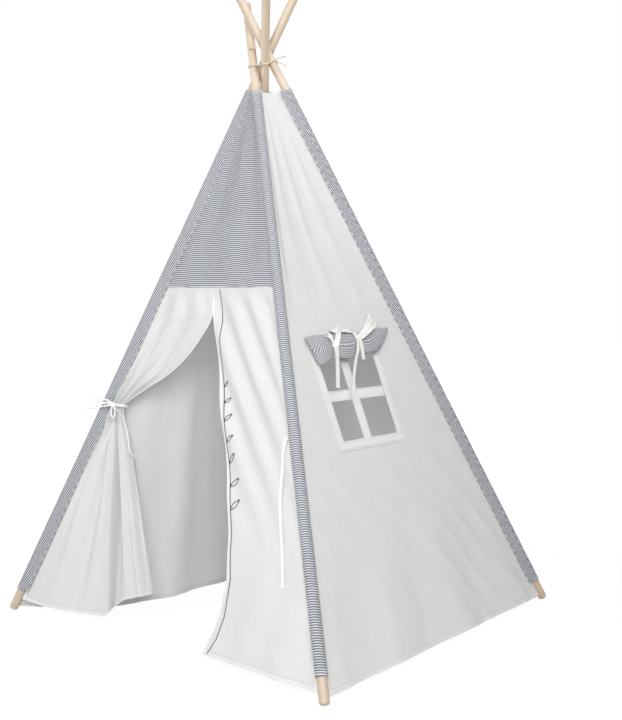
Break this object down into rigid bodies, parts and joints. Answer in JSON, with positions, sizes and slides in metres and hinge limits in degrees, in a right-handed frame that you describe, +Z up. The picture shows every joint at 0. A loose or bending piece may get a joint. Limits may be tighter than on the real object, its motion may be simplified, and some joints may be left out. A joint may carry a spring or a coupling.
{
  "type": "play teepee",
  "caption": "Child's teepee: leaning wooden poles lashed at the top carry a striped and white cotton cover with a gathered door flap, a loose door leaf and a window with a tied-up blind.",
  "frame": {"origin": "centre of the footprint, on the floor", "axes": "+Z up, the door wall faces -Y, the window wall faces +X"},
  "size_m": [1.056, 0.9764, 1.6366],
  "materials": {
    "wood": "pale planed pine, clear matt",
    "ferrule": "plain tube",
    "striped_cotton": "woven cotton, fine grey-blue and off-white stripes",
    "white_cotton": "plain woven cotton",
    "cotton_tape": "woven tape",
    "cotton_cord": "twisted cotton cord"
  },
  "bodies": {
    "cover": {"wall_window": "white_cotton", "wall_back": "white_cotton", "wall_left": "white_cotton", "header_panel": "striped_cotton", "door_flap_left": "white_cotton", "door_flap_right_sewn": "white_cotton", "window_facing": "white_cotton", "window_bar_upright": "white_cotton", "window_bar_cross": "white_cotton", "lashing_cord": "cotton_cord", "pole_thread": "cotton_cord"},
    "pole_front_right": {"pole_front_right_lower": "wood", "pole_front_right_upper": "wood", "ferrule_front_right": "ferrule", "casing_front_right": "striped_cotton"},
    "pole_back_right": {"pole_back_right_lower": "wood", "pole_back_right_upper": "wood", "ferrule_back_right": "ferrule", "casing_back_right": "striped_cotton"},
    "pole_back_left": {"pole_back_left_lower": "wood", "pole_back_left_upper": "wood", "ferrule_back_left": "ferrule", "casing_back_left": "striped_cotton"},
    "pole_front_left": {"pole_front_left_lower": "wood", "pole_front_left_upper": "wood", "ferrule_front_left": "ferrule", "casing_front_left": "striped_cotton", "door_tie_left": "cotton_tape"},
    "door_leaf": {"door_flap_right_loose": "white_cotton"},
    "blind": {"window_blind": "striped_cotton", "window_tie_left": "cotton_tape", "window_tie_right": "cotton_tape"},
    "right_tie": {"door_tie_right": "cotton_tape"}
  },
  "joints": [
    {"name": "fold_front_right", "type": "hinge", "parent": "cover", "child": "pole_front_right", "pos_m": [-0.07, -0.0314, 1.42], "axis": [0.6053, 0.796, 0], "range_deg": [0, 24], "deforming": ["wall_window", "wall_back", "wall_left", "header_panel", "door_flap_left", "door_flap_right_sewn", "window_facing", "window_bar_upright", "window_bar_cross", "lashing_cord", "pole_thread"]},
    {"name": "fold_back_right", "type": "hinge", "parent": "cover", "child": "pole_back_right", "pos_m": [-0.02732, -0.00236, 1.42], "axis": [-0.6612, 0.7502, 0], "range_deg": [0, 23.7]},
    {"name": "fold_back_left", "type": "hinge", "parent": "cover", "child": "pole_back_left", "pos_m": [-0.0326, -0.02788, 1.42], "axis": [-0.7215, -0.6924, 0], "range_deg": [0, 23]},
    {"name": "fold_front_left", "type": "hinge", "parent": "cover", "child": "pole_front_left", "pos_m": [-0.06252, -0.0028, 1.42], "axis": [0.7219, -0.692, 0], "range_deg": [0, 21.8]},
    {"name": "door_leaf_swing", "type": "hinge", "parent": "cover", "child": "door_leaf", "pos_m": [0.385, -0.47239, 0.01961], "axis": [-0.4285, 0.2796, 0.8592], "range_deg": [0, 150]},
    {"name": "blind_lift", "type": "hinge", "parent": "cover", "child": "blind", "pos_m": [0.22043, -0.113, 0.736], "axis": [-0.0463, -0.9989, 0], "range_deg": [0, 45]},
    {"name": "right_tie_swing", "type": "hinge", "parent": "pole_front_right", "child": "right_tie", "pos_m": [0.2905, -0.32044, 0.5051], "axis": [-0.9999, 0.0168, 0], "range_deg": [0, 60]}
  ],
  "couplings": [
    {"joint": "fold_back_right", "follows": "fold_front_right", "ratio": 0.98654},
    {"joint": "fold_back_left", "follows": "fold_front_right", "ratio": 0.95664},
    {"joint": "fold_front_left", "follows": "fold_front_right", "ratio": 0.90571}
  ]
}
